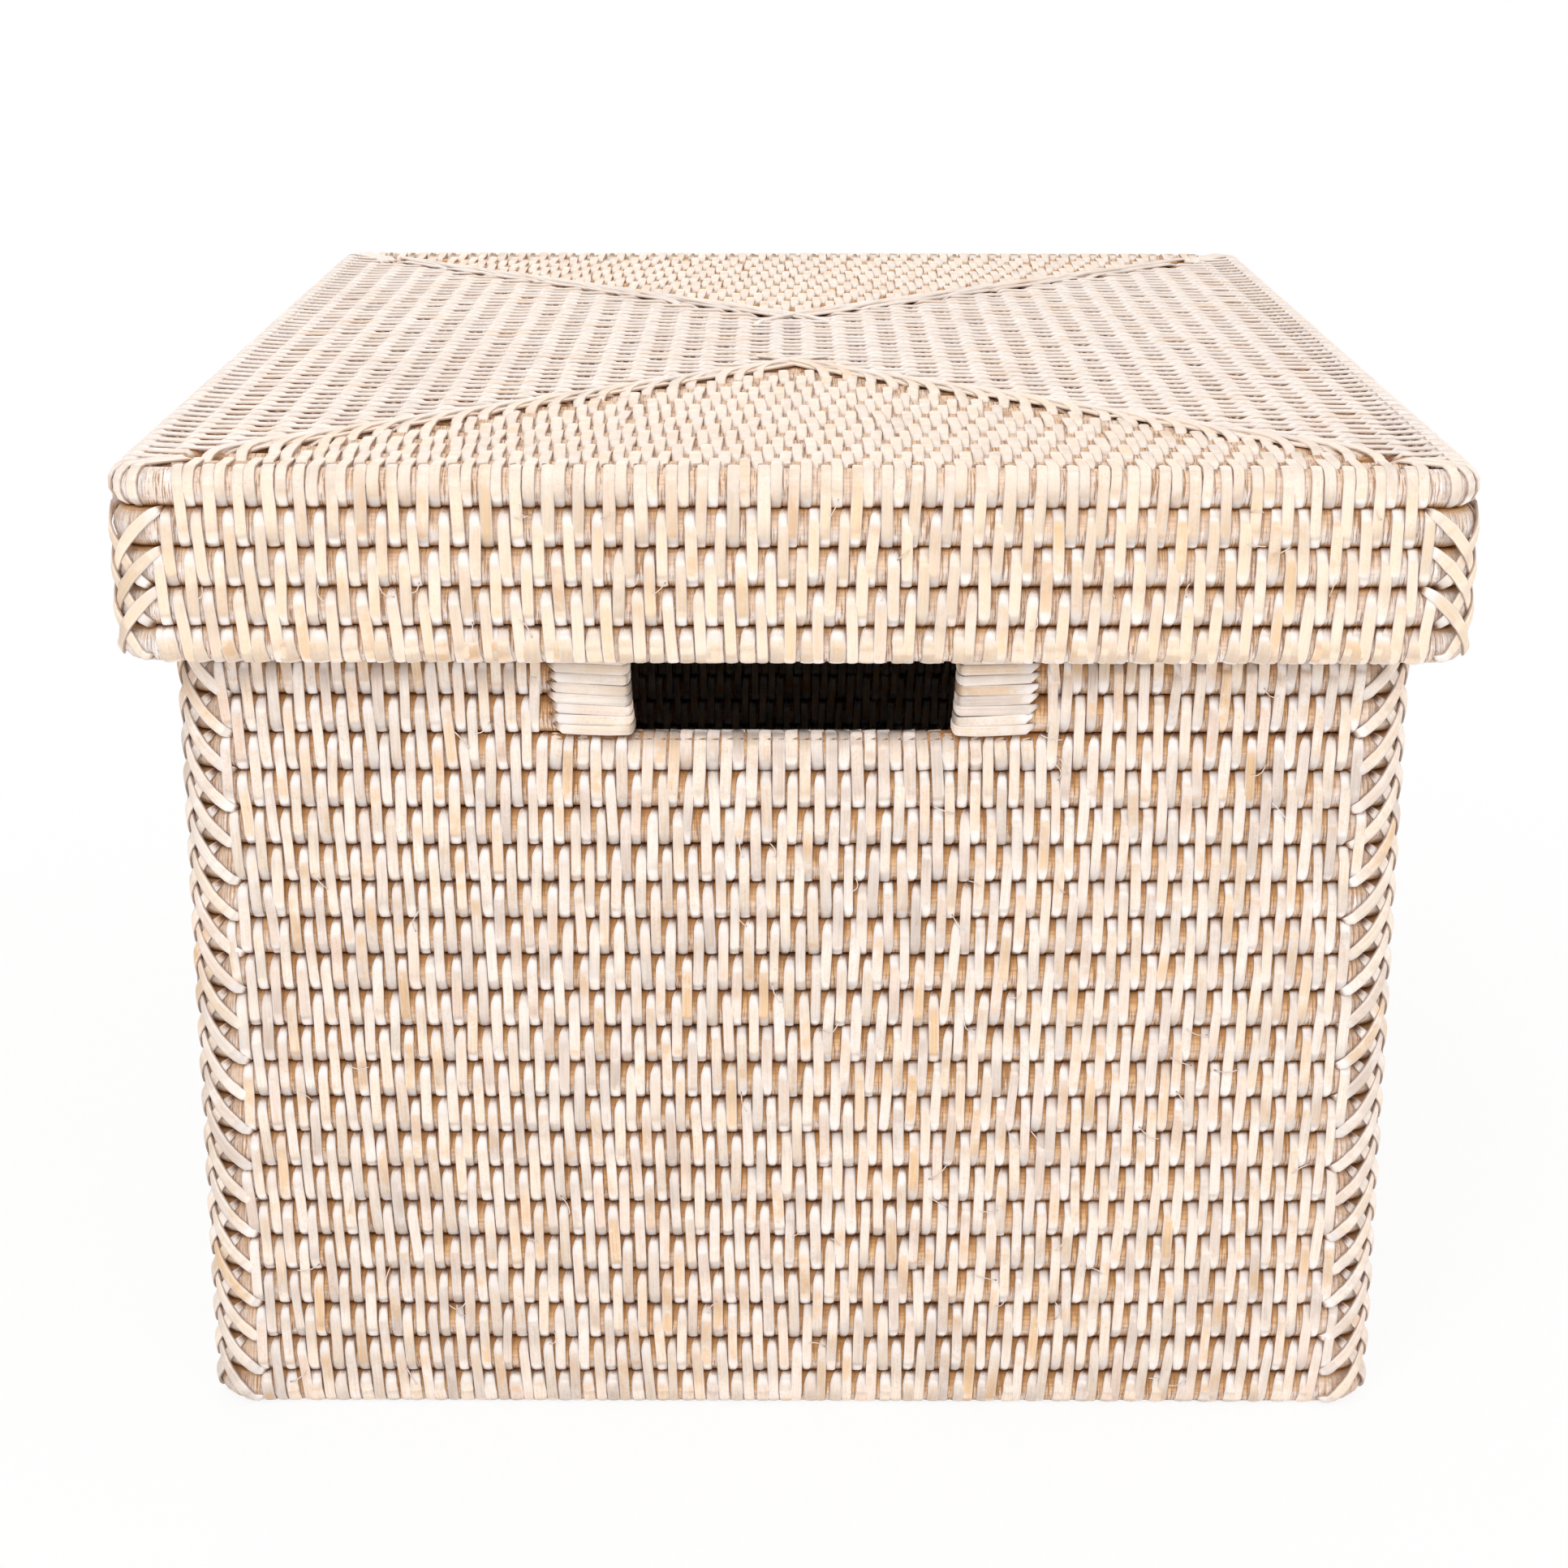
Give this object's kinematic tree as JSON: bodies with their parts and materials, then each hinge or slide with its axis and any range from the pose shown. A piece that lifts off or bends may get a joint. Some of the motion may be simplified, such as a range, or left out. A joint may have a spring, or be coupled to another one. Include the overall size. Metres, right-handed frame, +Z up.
{
  "type": "woven lidded box",
  "caption": "Rectangular rattan storage box with a deep lift-off lid and a hand-hole in each end.",
  "frame": {"origin": "middle of the underside, on the surface that the box stands on", "axes": "+Z up, +Y from the front to the back, +X to the right seen from the front; the front is a short side with a hand-hole"},
  "size_m": [0.3422, 0.4402, 0.2621],
  "materials": {
    "rod": "whitewashed rattan core, matt",
    "peel": "whitewashed rattan peel, satin"
  },
  "bodies": {
    "box_body": {"body_course_01": "rod", "body_course_02": "rod", "body_course_03": "rod", "body_course_04": "rod", "body_course_05": "rod", "body_course_06": "rod", "body_course_07": "rod", "body_course_08": "rod", "body_course_09": "rod", "body_course_10": "rod", "body_course_11": "rod", "body_course_12": "rod", "body_course_13": "rod", "body_course_14": "rod", "body_course_15": "rod", "body_course_16": "rod", "body_course_17": "rod", "body_course_18": "rod", "body_course_19": "rod", "body_course_20_right": "rod", "body_course_20_left": "rod", "body_course_21_right": "rod", "body_course_21_left": "rod", "body_course_22_right": "rod", "body_course_22_left": "rod", "body_course_23": "rod", "body_course_24": "rod", "body_course_25": "rod", "floor_front": "rod", "floor_right": "rod", "floor_back": "rod", "floor_left": "rod", "floor_spine": "rod", "body_corner_lacing_front_right": "peel", "body_corner_lacing_back_right": "peel", "body_corner_lacing_back_left": "peel", "body_corner_lacing_front_left": "peel", "hand_hole_binding_front_right": "peel", "hand_hole_binding_front_left": "peel", "hand_hole_binding_back_left": "peel", "hand_hole_binding_back_right": "peel"},
    "lid": {"lid_course_1": "rod", "lid_course_2": "rod", "lid_course_3": "rod", "lid_course_4": "rod", "lid_course_5": "rod", "lid_top_front": "rod", "lid_top_right": "rod", "lid_top_back": "rod", "lid_top_left": "rod", "lid_corner_lacing_front_right": "peel", "lid_corner_lacing_back_right": "peel", "lid_corner_lacing_back_left": "peel", "lid_corner_lacing_front_left": "peel", "lid_mitre_binding_front_right": "peel", "lid_mitre_binding_back_right": "peel", "lid_mitre_binding_back_left": "peel", "lid_mitre_binding_front_left": "peel", "lid_ridge_binding": "peel"}
  },
  "joints": [
    {"name": "lid_lift", "type": "slide", "parent": "box_body", "child": "lid", "axis": [0, 0, 1], "range_m": [0, 0.15]}
  ]
}
